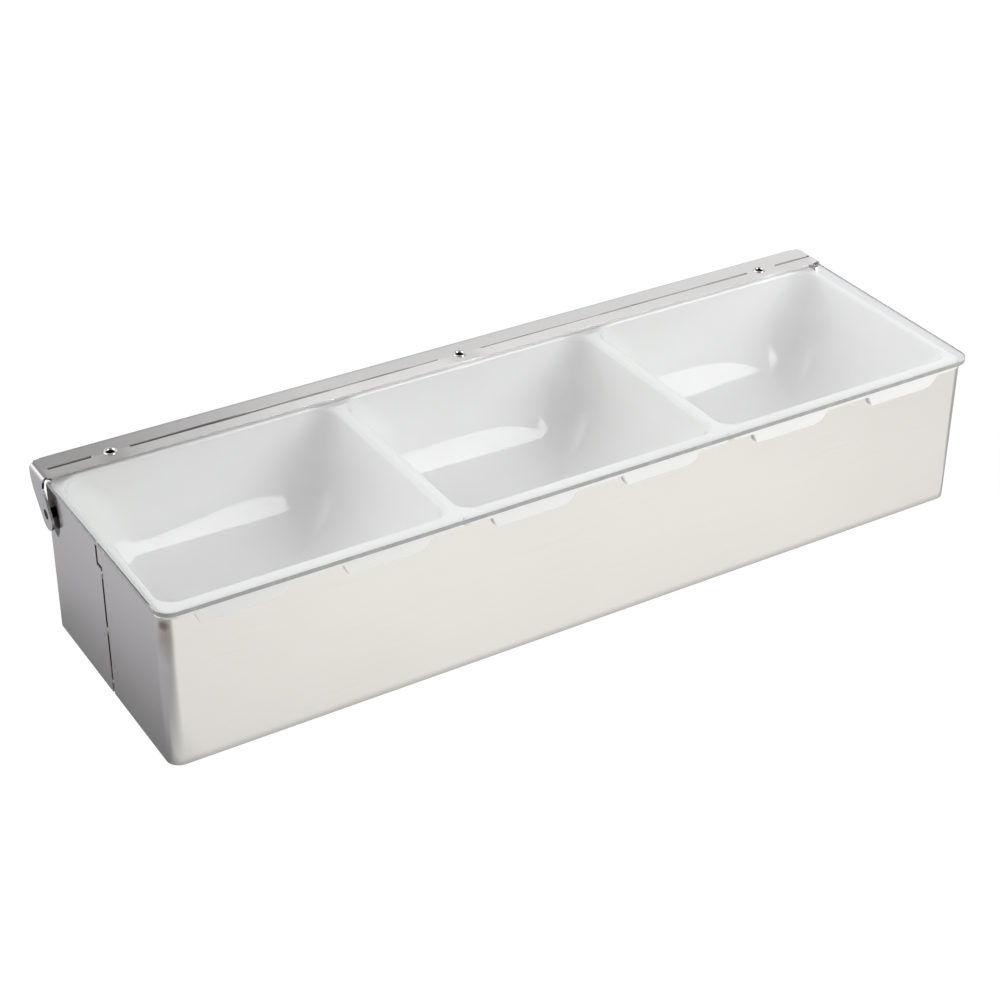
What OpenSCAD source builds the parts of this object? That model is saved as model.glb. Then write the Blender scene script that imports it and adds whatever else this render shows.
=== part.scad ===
// Bar condiment caddy: a long stainless sheet box that holds three white
// lift-out inserts, under one clear lid that swings on a steel hinge bar.
// Millimetres. Origin at the middle of the underside, X along the length,
// -Y towards the user, +Z up. The lid is drawn closed.

/* [Box] */
// Outside length of the steel box
box_l = 305; // [280:1:320]
// Outside width of the steel box, front to back
box_w = 88; // [84:1:96]
// Height of the steel walls
box_h = 54; // [50:1:66]
// Thickness of the steel sheet
sheet_t = 0.8; // [0.6:0.1:1]
// Radius of the two upright front corners
corner_front = 4.5; // [3:0.5:10]
// Radius of the two upright rear corners
corner_rear = 1.2; // [1:0.1:5]
// Height of the flange round the base pan
flange_h = 8.8; // [5:0.1:12]

/* [Seam in each end wall] */
// Distance of the lower part of the seam behind the front face
seam_y = 44.2; // [36:0.1:50]
// Step of the seam towards the back near the top
seam_jog = 3.1; // [2:0.1:5]
// Height of the step
seam_jog_z = 47.2; // [40:0.1:49]
// Width of the open seam
seam_w = 1.2; // [0.8:0.1:1.6]
// Width of the strap behind the seam
strap_w = 17; // [12:1:22]

/* [Inserts] */
// Distance from one insert to the next
pitch = 101; // [92:0.5:106]
// Gap between the rims of two inserts
insert_gap = 0.2; // [0.2:0.1:1]
// Left end of the first rim, from the left end of the box
first_x = 0.5; // [0.3:0.1:1]
// Thickness of the rim
rim_t = 1.6; // [1.2:0.1:2.4]
// Width of the rim at each end of an insert
rim_end = 2.35; // [2.2:0.05:4]
// Width of the rim along the front, from the box's front face inwards
rim_front = 4.1; // [4:0.1:6]
// How far the rim stands proud of the front face
rim_over = 1.55; // [1.4:0.05:2.5]
// Width of the rim along the back
rim_rear = 3.2; // [3.2:0.1:5]
// Wall thickness of the insert
wall_t = 1.5; // [1.2:0.1:1.5]
// Draft of the insert's walls, in degrees
draft = 4; // [2:0.5:6]
// Height of the insert's inner floor above the table
floor_z = 16; // [10:1:26]
// Radius where the insert's walls meet its floor
fillet_r = 25; // [10:1:28]
// Depth of the tabs in front, below the rim
tab_h = 3.9; // [3:0.1:6]

/* [Lid] */
// Thickness of the clear lid
lid_t = 1.4; // [1.2:0.1:2]
// How far the lid stands proud of the box in front
lid_over = 2.3; // [1.6:0.1:4]
// How far the lid stands proud of the box at each end
lid_side = 1.15; // [0.6:0.05:1.4]
// Radius of the lid's front corners
lid_r = 6; // [3:0.5:9]
// Rise of the lid towards the back, in degrees
lid_tilt = 0.57; // [0.5:0.01:0.7]

/* [Hinge bar] */
// Front edge of the bar, from the box's front face
bar_front = 83.3; // [82:0.1:85]
// Outer face of the bar's rear flange, from the box's front face
bar_rear = 97.1; // [97:0.1:99]
// Depth of the rear flange below the top of the bar
bar_drop = 3.8; // [3:0.1:4]
// Gap between an ear and the end wall
ear_gap = 1.5; // [1.4:0.05:2]
// Radius of an ear's rounded end
ear_r = 4.35; // [4:0.05:5]
// Pivot axis, distance behind the front face
pivot_y = 84.6; // [83:0.1:85]
// Pivot axis, height
pivot_z = 45; // [44.5:0.1:46]
// Diameter of the pivot pins
pin_d = 3.4; // [2.4:0.1:3.4]
// Diameter of the eyelets' flanges
eyelet_d = 5; // [4.6:0.1:5.4]
// Distance from the middle eyelet to each of the outer two
eyelet_pitch = 129.65; // [100:0.05:135]
// Eyelets and grooves, distance behind the front face
eyelet_y = 88.5; // [88:0.1:89]

/* [Hidden] */
$fn = 48;

xl = -box_l/2;                 // outside of the left end wall
xr = box_l/2;                  // outside of the right end wall
yf = -box_w/2;                 // front face
yb = box_w/2;                  // rear face
run = 0.03;                    // radial clearance of a pin or eyelet in its hole
insert_l = pitch - insert_gap;
rim_z = box_h;                 // underside of the rims
rim_top = rim_z + rim_t;
rim_y0 = yf - rim_over;
rim_y1 = yb - 0.4;             // the rims end just short of the rear face
cav_x0 = rim_end;              // the cavity at the top of the rim
cav_x1 = insert_l - rim_end;
cav_y0 = yf + rim_front;
cav_y1 = rim_y1 - rim_rear;
lid_y = yf - lid_over;         // lid frame: front edge of the lid's underside
lid_z = rim_top + 0.05;
bar_t = sheet_t;
bend_i = 2;                    // inner radius of the bend into each ear
bend_o = bend_i + bar_t;
ear_in = box_l/2 + ear_gap;    // inner face of an ear, from the middle
ear_out = ear_in + bar_t;
flat_x = ear_out - bend_o;     // where the bar's flat top ends
// the pivot axis and the bar's lines, seen in the lid's own tilted frame
function lid_v(y, z) =  (y - lid_y)*cos(lid_tilt) + (z - lid_z)*sin(lid_tilt);
function lid_w(y, z) = -(y - lid_y)*sin(lid_tilt) + (z - lid_z)*cos(lid_tilt);
pv = lid_v(yf + pivot_y, pivot_z);
pw = lid_w(yf + pivot_y, pivot_z);
bar_v0 = bar_front + lid_over;
bar_v1 = bar_rear + lid_over;
ev = eyelet_y + lid_over;
bar_w0 = lid_t;                // underside of the bar
bar_w1 = lid_t + bar_t;        // top of the bar
rear_bend = 1.5;
ear_c = [-0.1, -1.3];          // middle of the ear's round end, from the pivot
// point just inside the ear's round end, where the edge from an outline point
// p runs into it on side s
function tan_pt(p, s) =
    let (r = ear_r - 0.03, q = p - ear_c,
         a = atan2(q[1], q[0]) + s*acos(r/norm(q)))
    ear_c + [r*cos(a), r*sin(a)];

module in_lid() {
    translate([0, lid_y, lid_z]) rotate([lid_tilt, 0, 0]) children();
}

// upright block with rounded corners, rf in front and rr at the back
module block(x0, x1, y0, y1, z0, z1, rf, rr) {
    translate([0, 0, z0]) linear_extrude(z1 - z0) {
        polygon([[x0 + rf, y0], [x1 - rf, y0], [x1, y0 + rf], [x1, y1 - rr],
                 [x1 - rr, y1], [x0 + rr, y1], [x0, y1 - rr], [x0, y0 + rf]]);
        translate([x0 + rf, y0 + rf]) circle(rf);
        translate([x1 - rf, y0 + rf]) circle(rf);
        translate([x1 - rr, y1 - rr]) circle(rr);
        translate([x0 + rr, y1 - rr]) circle(rr);
    }
}

// the closed ring of sheet that both shells are cut from
module wall_ring() {
    difference() {
        block(xl, xr, yf, yb, 0, box_h, corner_front, corner_rear);
        block(xl + sheet_t, xr - sheet_t, yf + sheet_t, yb - sheet_t, -1,
              box_h + 1, corner_front - sheet_t, max(corner_rear - sheet_t, 0.1));
    }
}

module pivot_bores(r) {
    translate([xl - 6, yf + pivot_y, pivot_z]) rotate([0, 90, 0])
        cylinder(h = box_l + 12, r = r);
}

module front_shell() {
    color([0.80, 0.79, 0.76]) intersection() {
        wall_ring();
        union() {
            translate([xl - 5, yf - 5, -2])
                cube([box_l + 10, 5 + seam_y - seam_w/2, box_h + 4]);
            translate([xl - 5, yf - 5, seam_jog_z + seam_w/2])
                cube([box_l + 10, 5 + seam_y + seam_jog - seam_w/2, box_h]);
        }
    }
}

module rear_shell() {
    color([0.62, 0.62, 0.63]) difference() {
        wall_ring();
        translate([xl - 5, yf - 5, -2])
            cube([box_l + 10, 5 + seam_y + seam_w/2, box_h + 4]);
        translate([xl - 5, yf - 5, seam_jog_z - seam_w/2])
            cube([box_l + 10, 5 + seam_y + seam_jog + seam_w/2, box_h]);
        pivot_bores(pin_d/2 + run);
    }
}

module base_pan() {
    t = sheet_t;
    color([0.66, 0.66, 0.66]) difference() {
        block(xl + t, xr - t, yf + t, yb - t, 0, flange_h,
              corner_front - t, max(corner_rear - t, 0.1));
        block(xl + 2*t, xr - 2*t, yf + 2*t, yb - 2*t, t, flange_h + 1,
              corner_front - 2*t, max(corner_rear - 2*t, 0.3));
    }
}

// backing strap behind a seam, above the pan's flange
module strap(side) {
    st = 0.6;
    x = box_l/2 - sheet_t - st;
    color([0.60, 0.60, 0.61])
        translate([side > 0 ? x : -x - st, yf + seam_y + seam_jog/2 - strap_w/2,
                   flange_h + 0.2])
            cube([st, strap_w, box_h - 2 - flange_h - 0.2]);
}
module seam_strap_left() { strap(-1); }
module seam_strap_right() { strap(1); }

// short weld beads that close the seam near the bottom and under the step
module weld(side, z) {
    bead = 0.3;
    color([0.45, 0.42, 0.38])
        translate([side > 0 ? box_l/2 - sheet_t : -box_l/2 - bead,
                   yf + seam_y - seam_w/2, z])
            cube([sheet_t + bead, seam_w, 3]);
}
module seam_welds() {
    for (s = [-1, 1]) { weld(s, 2); weld(s, 22); weld(s, 43); }
}

// lower half of a ball
module half_ball(r) {
    rotate_extrude($fn = 36) intersection() {
        circle(r, $fn = 36);
        translate([0, -r]) square(r);
    }
}

// four half balls at the bottom and four discs at height z: the bowl's
// outline, grown by g, with corner radii rf and rr at the rim
module bowl(g, z, rf, rr) {
    r = fillet_r + g;
    zc = floor_z + fillet_r;
    in = (rim_top - zc)*tan(draft) + fillet_r/cos(draft);
    up = (z - rim_top)*tan(draft);
    x0 = cav_x0 - g - up; x1 = cav_x1 + g + up;
    y0 = cav_y0 - g - up; y1 = cav_y1 + g + up;
    hull() {
        for (x = [cav_x0 + in, cav_x1 - in], y = [cav_y0 + in, cav_y1 - in])
            translate([x, y, zc]) half_ball(r);
        for (s = [0, 1]) translate([0, 0, z - 0.02]) {
            translate([s ? x1 - rf : x0 + rf, y0 + rf, 0])
                cylinder(h = 0.02, r = rf, $fn = 36);
            translate([s ? x1 - rr : x0 + rr, y1 - rr, 0])
                cylinder(h = 0.02, r = rr, $fn = 36);
        }
    }
}

// a tab's outline along the rim: top left, bottom left, bottom right, top right
module tab(a, b, c, d) {
    translate([0, rim_y0, 0]) rotate([90, 0, 0]) mirror([0, 0, 1])
        linear_extrude(rim_over - 0.1)
            polygon([[a, rim_z + 0.6], [a, rim_z], [b, rim_z - tab_h],
                     [c, rim_z - tab_h], [d, rim_z], [d, rim_z + 0.6]]);
}

module insert(k) {
    ch = 0.8;
    color([0.93, 0.93, 0.92]) translate([xl + first_x + k*pitch, 0, 0])
        difference() {
            union() {
                block(0, insert_l, rim_y0, rim_y1, rim_z, rim_top, 5, 4);
                bowl(wall_t, rim_z + 0.8, 7.5, 9.5);
                tab(9.85, 11.55, 36.75, 40.3);
                tab(58.5, 60.25, 84.95, 88.4);
            }
            bowl(0, rim_top + 0.5, 6, 8);
            // the rear top edge is bevelled for the lid to swing past
            translate([-1, rim_y1, rim_top - ch]) rotate([45, 0, 0])
                cube([insert_l + 2, ch*2, ch*2]);
        }
}
module insert_left() { insert(0); }
module insert_middle() { insert(1); }
module insert_right() { insert(2); }

// pin with a flat head inside the end wall and its free end in the ear
module pivot_pin(side) {
    color([0.08, 0.08, 0.08])
        translate([side*(box_l/2 - sheet_t), yf + pivot_y, pivot_z])
            rotate([0, side*90, 0]) {
                cylinder(h = ear_out - box_l/2 + sheet_t, r = pin_d/2);
                translate([0, 0, -0.9]) cylinder(h = 0.9, r = 2.15);
            }
}
module pivot_pin_left() { pivot_pin(-1); }
module pivot_pin_right() { pivot_pin(1); }

module eyelet_holes() {
    for (k = [-1, 0, 1])
        translate([k*eyelet_pitch, ev, -2])
            cylinder(h = 8, r = 1.5 + run);
}

module lid_panel() {
    x = box_l/2 + lid_side;
    v1 = bar_v1 - 4.6;
    color([0.80, 0.86, 0.86, 0.35]) in_lid() difference() {
        block(-x, x, 0, v1, 0, lid_t, lid_r, 2);
        eyelet_holes();
        // the rear corners are notched to sit between the ears
        for (s = [-1, 1])
            translate([s > 0 ? flat_x - 0.2 : -x - 1, bar_v0 - 0.6, -1])
                cube([x + 1 - flat_x + 0.2, 20, lid_t + 2]);
    }
}

// one end of the bar: the bend and the ear, drawn on the right-hand side. The
// ear is a strap that slants down towards the front to its round end.
module ear() {
    h = bar_w0 - bend_i - pw;             // level where the bend starts
    x0 = -0.6; x1 = 10.2;                 // front and rear of the bend
    pf = [0.5, 9.2];                      // corner of the front edge
    pr = [8.8, 4.5];                      // corner of the rear edge
    translate([ear_in, pv, pw]) rotate([90, 0, 90]) linear_extrude(bar_t) {
        translate(ear_c) circle(ear_r);
        polygon([ear_c, tan_pt(pr, -1), pr, [10.25, 8.5], [x1, h], [x0, h],
                 pf, tan_pt(pf, 1)]);
    }
    // quarter bend up to the flat top
    intersection() {
        translate([flat_x, pv + x0, bar_w0 - bend_i]) rotate([-90, 0, 0])
            difference() {
                cylinder(h = x1 - x0, r = bend_o);
                translate([0, 0, -1]) cylinder(h = x1 - x0 + 2, r = bend_i);
            }
        translate([flat_x, pv - 10, bar_w0 - bend_i]) cube([10, 40, 10]);
    }
}

// shallow pressed groove along the bar's top
module groove(x0, x1) {
    translate([x0, ev, bar_w1 + 0.95]) rotate([0, 90, 0])
        cylinder(h = x1 - x0, r = 1.2);
}

module hinge_bar() {
    drop = bar_drop;
    vr = bar_v1 - rear_bend;             // where the rear bend starts
    color([0.74, 0.73, 0.73]) difference() {
        in_lid() difference() {
            union() {
                translate([-flat_x, bar_v0, bar_w0])
                    cube([2*flat_x, vr - bar_v0, bar_t]);
                // rear bend and flange, with a relief notch at each end
                intersection() {
                    translate([-flat_x + 2.4, vr, bar_w1 - rear_bend])
                        rotate([0, 90, 0]) difference() {
                            cylinder(h = 2*flat_x - 4.8, r = rear_bend);
                            translate([0, 0, -1])
                                cylinder(h = 2*flat_x, r = rear_bend - bar_t);
                        }
                    translate([-200, vr, bar_w1 - rear_bend]) cube([400, 5, 5]);
                }
                translate([-flat_x + 2.4, bar_v1 - bar_t, bar_w1 - drop])
                    cube([2*flat_x - 4.8, bar_t, drop - rear_bend]);
                ear();
                mirror([1, 0, 0]) ear();
            }
            eyelet_holes();
            for (s = [-1, 1]) {
                groove(s > 0 ? 136.6 : -150.6, s > 0 ? 150.6 : -136.6);
                groove(s > 0 ? 8.7 : -122.3, s > 0 ? 122.3 : -8.7);
            }
        }
        pivot_bores(pin_d/2 + run);
    }
}

// hollow eyelets, rolled over above the bar and under the lid
module lid_eyelets() {
    r1 = eyelet_d/2;
    color([0.70, 0.69, 0.67]) in_lid()
        for (k = [-1, 0, 1])
            translate([k*eyelet_pitch, ev, 0]) rotate_extrude()
                polygon([[1, -0.35], [2.4, -0.35], [2.4, 0], [1.5, 0],
                         [1.5, bar_w1], [r1, bar_w1], [r1, bar_w1 + 0.35],
                         [r1 - 0.4, bar_w1 + 0.7], [1.5, bar_w1 + 0.75],
                         [1, bar_w1 + 0.4]]);
}

front_shell();
rear_shell();
base_pan();
seam_strap_left();
seam_strap_right();
seam_welds();
insert_left();
insert_middle();
insert_right();
pivot_pin_left();
pivot_pin_right();
lid_panel();
hinge_bar();
lid_eyelets();
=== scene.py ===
import math

import bmesh
import bpy
from mathutils import Matrix, Vector, noise


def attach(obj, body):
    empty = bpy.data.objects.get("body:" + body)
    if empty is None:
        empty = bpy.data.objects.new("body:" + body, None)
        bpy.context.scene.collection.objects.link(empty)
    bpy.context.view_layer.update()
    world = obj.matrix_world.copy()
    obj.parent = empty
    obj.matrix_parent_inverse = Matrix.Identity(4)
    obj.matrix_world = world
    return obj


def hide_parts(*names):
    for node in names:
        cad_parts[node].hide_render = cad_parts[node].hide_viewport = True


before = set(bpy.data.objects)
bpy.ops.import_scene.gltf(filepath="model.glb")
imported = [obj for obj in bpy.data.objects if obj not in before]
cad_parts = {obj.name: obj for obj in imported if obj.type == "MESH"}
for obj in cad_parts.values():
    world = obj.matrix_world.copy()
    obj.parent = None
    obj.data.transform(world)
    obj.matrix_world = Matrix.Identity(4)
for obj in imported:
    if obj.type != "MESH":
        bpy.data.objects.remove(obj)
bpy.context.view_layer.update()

MM = 0.001
scene = bpy.context.scene

# ------------------------------------------------------------------ camera
cam_data = bpy.data.cameras.new("view_camera")
cam = bpy.data.objects.new("view_camera", cam_data)
scene.collection.objects.link(cam)
scene.camera = cam
cam_data.sensor_width = 36.0
cam_data.lens = 79.400
cam_data.shift_x = 0.0005
cam_data.shift_y = 0.0009
cam_data.clip_start, cam_data.clip_end = 0.01, 50.0
az, el, roll = math.radians(-31.914), math.radians(32.020), math.radians(0.664)
back = Vector((math.sin(az) * math.cos(el), -math.cos(az) * math.cos(el), math.sin(el)))
right = (-back).cross(Vector((0, 0, 1))).normalized()
up = right.cross(-back)
R = right * math.cos(roll) + up * math.sin(roll)
U = up * math.cos(roll) - right * math.sin(roll)
C = Vector((-0.34382, -0.53494, 0.42014))
cam.matrix_world = Matrix(
    (
        (R.x, U.x, back.x, C.x),
        (R.y, U.y, back.y, C.y),
        (R.z, U.z, back.z, C.z),
        (0, 0, 0, 1),
    )
)


# ------------------------------------------------------------------ mesh help
def finish_mesh(obj, sharp):
    bm = bmesh.new()
    bm.from_mesh(obj.data)
    bmesh.ops.recalc_face_normals(bm, faces=bm.faces)
    limit = math.radians(sharp)
    for f in bm.faces:
        f.smooth = True
    for e in bm.edges:
        if len(e.link_faces) == 2:
            e.smooth = e.calc_face_angle() < limit
    bm.to_mesh(obj.data)
    bm.free()
    obj.data.update()


def make(name, verts, faces, mats, sharp=32, face_mat=None, merge=2e-4):
    """Mesh object from millimetre points."""
    bm = bmesh.new()
    vs = [bm.verts.new((x * MM, y * MM, z * MM)) for x, y, z in verts]
    for k, f in enumerate(faces):
        try:
            face = bm.faces.new([vs[i] for i in f])
        except ValueError:
            continue
        if face_mat:
            face.material_index = face_mat[k]
    bmesh.ops.remove_doubles(bm, verts=bm.verts, dist=merge * MM)
    bmesh.ops.dissolve_degenerate(bm, edges=bm.edges, dist=1e-4 * MM)
    me = bpy.data.meshes.new(name)
    bm.to_mesh(me)
    bm.free()
    obj = bpy.data.objects.new(name, me)
    scene.collection.objects.link(obj)
    for m in mats:
        me.materials.append(m)
    finish_mesh(obj, sharp)
    return obj


def bake_mods(obj, sharp=None):
    """Applies the modifiers, so that the mesh is final."""
    bpy.context.view_layer.update()
    dg = bpy.context.evaluated_depsgraph_get()
    me = bpy.data.meshes.new_from_object(obj.evaluated_get(dg))
    obj.modifiers.clear()
    obj.data = me
    if sharp is not None:
        finish_mesh(obj, sharp)
    return obj


def bevel(obj, width, segments=2, angle=40):
    m = obj.modifiers.new("edge", "BEVEL")
    m.width = width * MM
    m.segments = segments
    m.limit_method = "ANGLE"
    m.angle_limit = math.radians(angle)
    m.harden_normals = False
    m.use_clamp_overlap = True
    return m


def weighted(obj):
    m = obj.modifiers.new("even", "WEIGHTED_NORMAL")
    m.keep_sharp = True
    m.weight = 60
    return m


def cut(obj, cutter):
    m = obj.modifiers.new("cut", "BOOLEAN")
    m.operation = "DIFFERENCE"
    m.solver = "EXACT"
    m.object = cutter
    bake_mods(obj)
    bpy.data.objects.remove(cutter)


def loft(rings, closed=True, cap0=False, cap1=False):
    verts, faces = [], []
    n = len(rings[0])
    for r in rings:
        verts += r
    for k in range(len(rings) - 1):
        for i in range(n if closed else n - 1):
            j = (i + 1) % n
            faces.append((k * n + i, k * n + j, (k + 1) * n + j, (k + 1) * n + i))
    if cap0:
        faces.append(tuple(reversed(range(n))))
    if cap1:
        b = (len(rings) - 1) * n
        faces.append(tuple(range(b, b + n)))
    return verts, faces


def lathe(name, profile, origin, axis, mats, seg=64, sharp=32):
    """Closed profile of (radius, height) turned about an axis through origin."""
    a = Vector(axis).normalized()
    u = a.orthogonal().normalized()
    w = a.cross(u)
    o = Vector(origin)
    rings = []
    for k in range(seg):
        t = 2 * math.pi * k / seg
        d = u * math.cos(t) + w * math.sin(t)
        rings.append([tuple(o + d * r + a * h) for r, h in profile])
    n = len(profile)
    verts, faces = [], []
    for r in rings:
        verts += r
    for k in range(seg):
        kk = (k + 1) % seg
        for i in range(n):
            j = (i + 1) % n
            if profile[i][0] < 1e-6 and profile[j][0] < 1e-6:
                continue
            faces.append((k * n + i, k * n + j, kk * n + j, kk * n + i))
    return make(name, verts, faces, mats, sharp=sharp)


def cylinder_cutter(p0, p1, r, seg=48):
    a, b = Vector(p0), Vector(p1)
    d = (b - a).normalized()
    u = d.orthogonal().normalized()
    w = d.cross(u)
    r0 = [
        tuple(a + (u * math.cos(t) + w * math.sin(t)) * r)
        for t in [2 * math.pi * k / seg for k in range(seg)]
    ]
    r1 = [tuple(Vector(p) + (b - a)) for p in r0]
    v, f = loft([r0, r1], cap0=True, cap1=True)
    return make("cutter", v, f, [])


# ------------------------------------------------------------------ materials
class Nodes:
    """Small helper to write a shader tree."""

    def __init__(self, name):
        self.mat = bpy.data.materials.new(name)
        self.mat.use_nodes = True
        self.nt = self.mat.node_tree
        self.nt.nodes.clear()
        self.out = self.nt.nodes.new("ShaderNodeOutputMaterial")

    def add(self, kind, **kw):
        n = self.nt.nodes.new(kind)
        for k, v in kw.items():
            if hasattr(n, k):
                setattr(n, k, v)
            else:
                n.inputs[k].default_value = v
        return n

    def link(self, a, b):
        self.nt.links.new(a, b)

    def coords(self, scale=(1, 1, 1)):
        c = self.add("ShaderNodeTexCoord")
        m = self.add("ShaderNodeMapping")
        m.inputs["Scale"].default_value = scale
        self.link(c.outputs["Object"], m.inputs["Vector"])
        return m.outputs["Vector"]

    def noise(self, scale, vec, detail=3.0, rough=0.5):
        n = self.add("ShaderNodeTexNoise")
        n.inputs["Scale"].default_value = scale
        n.inputs["Detail"].default_value = detail
        n.inputs["Roughness"].default_value = rough
        self.link(vec, n.inputs["Vector"])
        return n.outputs["Fac"]

    def remap(self, fac, a, b, lo=0.0, hi=1.0):
        n = self.add("ShaderNodeMapRange")
        n.inputs["From Min"].default_value = a
        n.inputs["From Max"].default_value = b
        n.inputs["To Min"].default_value = lo
        n.inputs["To Max"].default_value = hi
        self.link(fac, n.inputs["Value"])
        return n.outputs["Result"]

    def math(self, op, a, b):
        n = self.add("ShaderNodeMath")
        n.operation = op
        for i, v in enumerate((a, b)):
            if hasattr(v, "links"):
                self.link(v, n.inputs[i])
            else:
                n.inputs[i].default_value = v
        return n.outputs[0]

    def ramp(self, fac, stops):
        n = self.add("ShaderNodeValToRGB")
        e = n.color_ramp.elements
        while len(e) < len(stops):
            e.new(0.5)
        for k, (p, c) in enumerate(stops):
            e[k].position = p
            e[k].color = (*c, 1)
        self.link(fac, n.inputs["Fac"])
        return n.outputs["Color"]

    def bump(self, height, strength, distance, normal=None):
        n = self.add("ShaderNodeBump")
        n.inputs["Strength"].default_value = strength
        n.inputs["Distance"].default_value = distance
        self.link(height, n.inputs["Height"])
        if normal is not None:
            self.link(normal, n.inputs["Normal"])
        return n.outputs["Normal"]


def steel(name, lo, hi, rough, spread, grain=(2, 2, 260), wave=0.0, scratches=0.15, marks=()):
    m = Nodes(name)
    p = m.add("ShaderNodeBsdfPrincipled")
    m.link(p.outputs[0], m.out.inputs["Surface"])
    p.inputs["Metallic"].default_value = 1.0
    g = m.coords(grain)
    fine = m.noise(14.0, g, 4.0, 0.6)
    big = m.noise(18.0, m.coords((1, 1, 1)), 3.0, 0.55)
    sm = m.noise(160.0, m.coords((1, 1, 1)), 2.0, 0.5)
    mix = m.math("ADD", m.math("MULTIPLY", fine, 0.62), m.math("MULTIPLY", big, 0.38))
    col = m.ramp(m.remap(mix, 0.33, 0.67), [(0.0, lo), (1.0, hi)])
    # darker marks mixed into the colour (painted reflection and shade round the pivots, brown spots, a painted
    # darkening of the bar's left end): (centre, stretch, inner and outer radius in mm, colour, strength)
    for centre, stretch, r0, r1, tint, k in marks:
        c = m.add("ShaderNodeTexCoord")
        mp = m.add("ShaderNodeMapping")
        mp.inputs["Scale"].default_value = [1000.0 / q for q in stretch]
        mp.inputs["Location"].default_value = [-v / q for v, q in zip(centre, stretch)]
        m.link(c.outputs["Object"], mp.inputs["Vector"])
        wob = m.add("ShaderNodeTexNoise")
        wob.inputs["Scale"].default_value = 0.35
        wob.inputs["Detail"].default_value = 3.0
        m.link(mp.outputs["Vector"], wob.inputs["Vector"])
        ln = m.add("ShaderNodeVectorMath")
        ln.operation = "LENGTH"
        m.link(mp.outputs["Vector"], ln.inputs[0])
        w = min((r1 - r0) * 0.8, 14.0)
        d = m.math("ADD", ln.outputs["Value"], m.math("MULTIPLY", wob.outputs["Fac"], w))
        f = m.remap(d, r0 + w / 2, r1 + w / 2, k, 0.0)
        mc = m.add("ShaderNodeMix")
        mc.data_type = "RGBA"
        m.link(f, mc.inputs["Factor"])
        m.link(col, mc.inputs[6])
        mc.inputs[7].default_value = (*tint, 1)
        col = mc.outputs[2]
    m.link(col, p.inputs["Base Color"])
    r = m.math(
        "ADD",
        m.remap(fine, 0.3, 0.7, rough - spread, rough + spread),
        m.remap(sm, 0.3, 0.7, -0.02, 0.03),
    )
    m.link(r, p.inputs["Roughness"])
    # long fine scratches along the grain
    s = m.noise(30.0, m.coords((grain[0] * 0.6, grain[1] * 0.6, grain[2] * 3)), 2.0, 0.7)
    n1 = m.bump(m.math("ADD", fine, m.math("MULTIPLY", s, scratches)), 0.12, 0.00002)
    if wave:
        w = m.noise(16.0, m.coords((1, 1, 1.6)), 1.0, 0.4)
        n1 = m.bump(w, 1.0, wave, n1)
    m.link(n1, p.inputs["Normal"])
    return m.mat


def white_plastic(name, tone=1.0):
    m = Nodes(name)
    p = m.add("ShaderNodeBsdfPrincipled")
    m.link(p.outputs[0], m.out.inputs["Surface"])
    c = m.coords()
    a = m.noise(30.0, c, 4.0, 0.5)
    b = m.noise(900.0, c, 2.0, 0.5)
    m.link(
        m.ramp(m.remap(a, 0.3, 0.7), [
            (0.0, (0.80 * tone, 0.80 * tone, 0.79 * tone)), (1.0, (0.83 * tone, 0.83 * tone, 0.825 * tone))
        ]),
        p.inputs["Base Color"],
    )
    m.link(m.remap(a, 0.3, 0.7, 0.02, 0.05), p.inputs["Roughness"])
    p.inputs["Specular IOR Level"].default_value = 0.5
    p.inputs["IOR"].default_value = 1.5
    n = m.bump(b, 0.06, 0.00001)
    n = m.bump(m.noise(55.0, c, 1.0, 0.4), 0.18, 0.00005, n)
    m.link(n, p.inputs["Normal"])
    return m.mat


def clear_plastic(name):
    m = Nodes(name)
    p = m.add("ShaderNodeBsdfPrincipled")
    p.inputs["Transmission Weight"].default_value = 1.0
    p.inputs["IOR"].default_value = 1.49
    p.inputs["Base Color"].default_value = (0.985, 0.99, 0.99, 1)
    c = m.coords()
    s = m.noise(60.0, c, 5.0, 0.6)
    m.link(m.remap(s, 0.3, 0.7, 0.0, 0.02), p.inputs["Roughness"])
    t = m.add("ShaderNodeBsdfTransparent")
    t.inputs["Color"].default_value = (0.97, 0.975, 0.975, 1)
    lp = m.add("ShaderNodeLightPath")
    mix = m.add("ShaderNodeMixShader")
    f = m.math("MAXIMUM", lp.outputs["Is Shadow Ray"], lp.outputs["Is Diffuse Ray"])
    m.link(f, mix.inputs["Fac"])
    m.link(p.outputs[0], mix.inputs[1])
    m.link(t.outputs[0], mix.inputs[2])
    m.link(mix.outputs[0], m.out.inputs["Surface"])
    return m.mat


def lid_edge(name):
    """Sawn and flamed edge of the clear sheet, painted an opaque grey: a painted reflection for the dark lines a clear
    edge shows.
    """
    m = Nodes(name)
    p = m.add("ShaderNodeBsdfPrincipled")
    p.inputs["IOR"].default_value = 1.49
    c = m.coords()
    s = m.noise(220.0, c, 4.0, 0.6)
    m.link(
        m.ramp(m.remap(s, 0.3, 0.7), [(0.0, (0.30, 0.305, 0.30)), (1.0, (0.37, 0.375, 0.37))]),
        p.inputs["Base Color"],
    )
    m.link(m.remap(s, 0.3, 0.7, 0.18, 0.34), p.inputs["Roughness"])
    m.link(m.bump(m.noise(1500.0, c, 2.0, 0.6), 0.2, 0.00002), p.inputs["Normal"])
    m.link(p.outputs[0], m.out.inputs["Surface"])
    return m.mat


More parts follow.
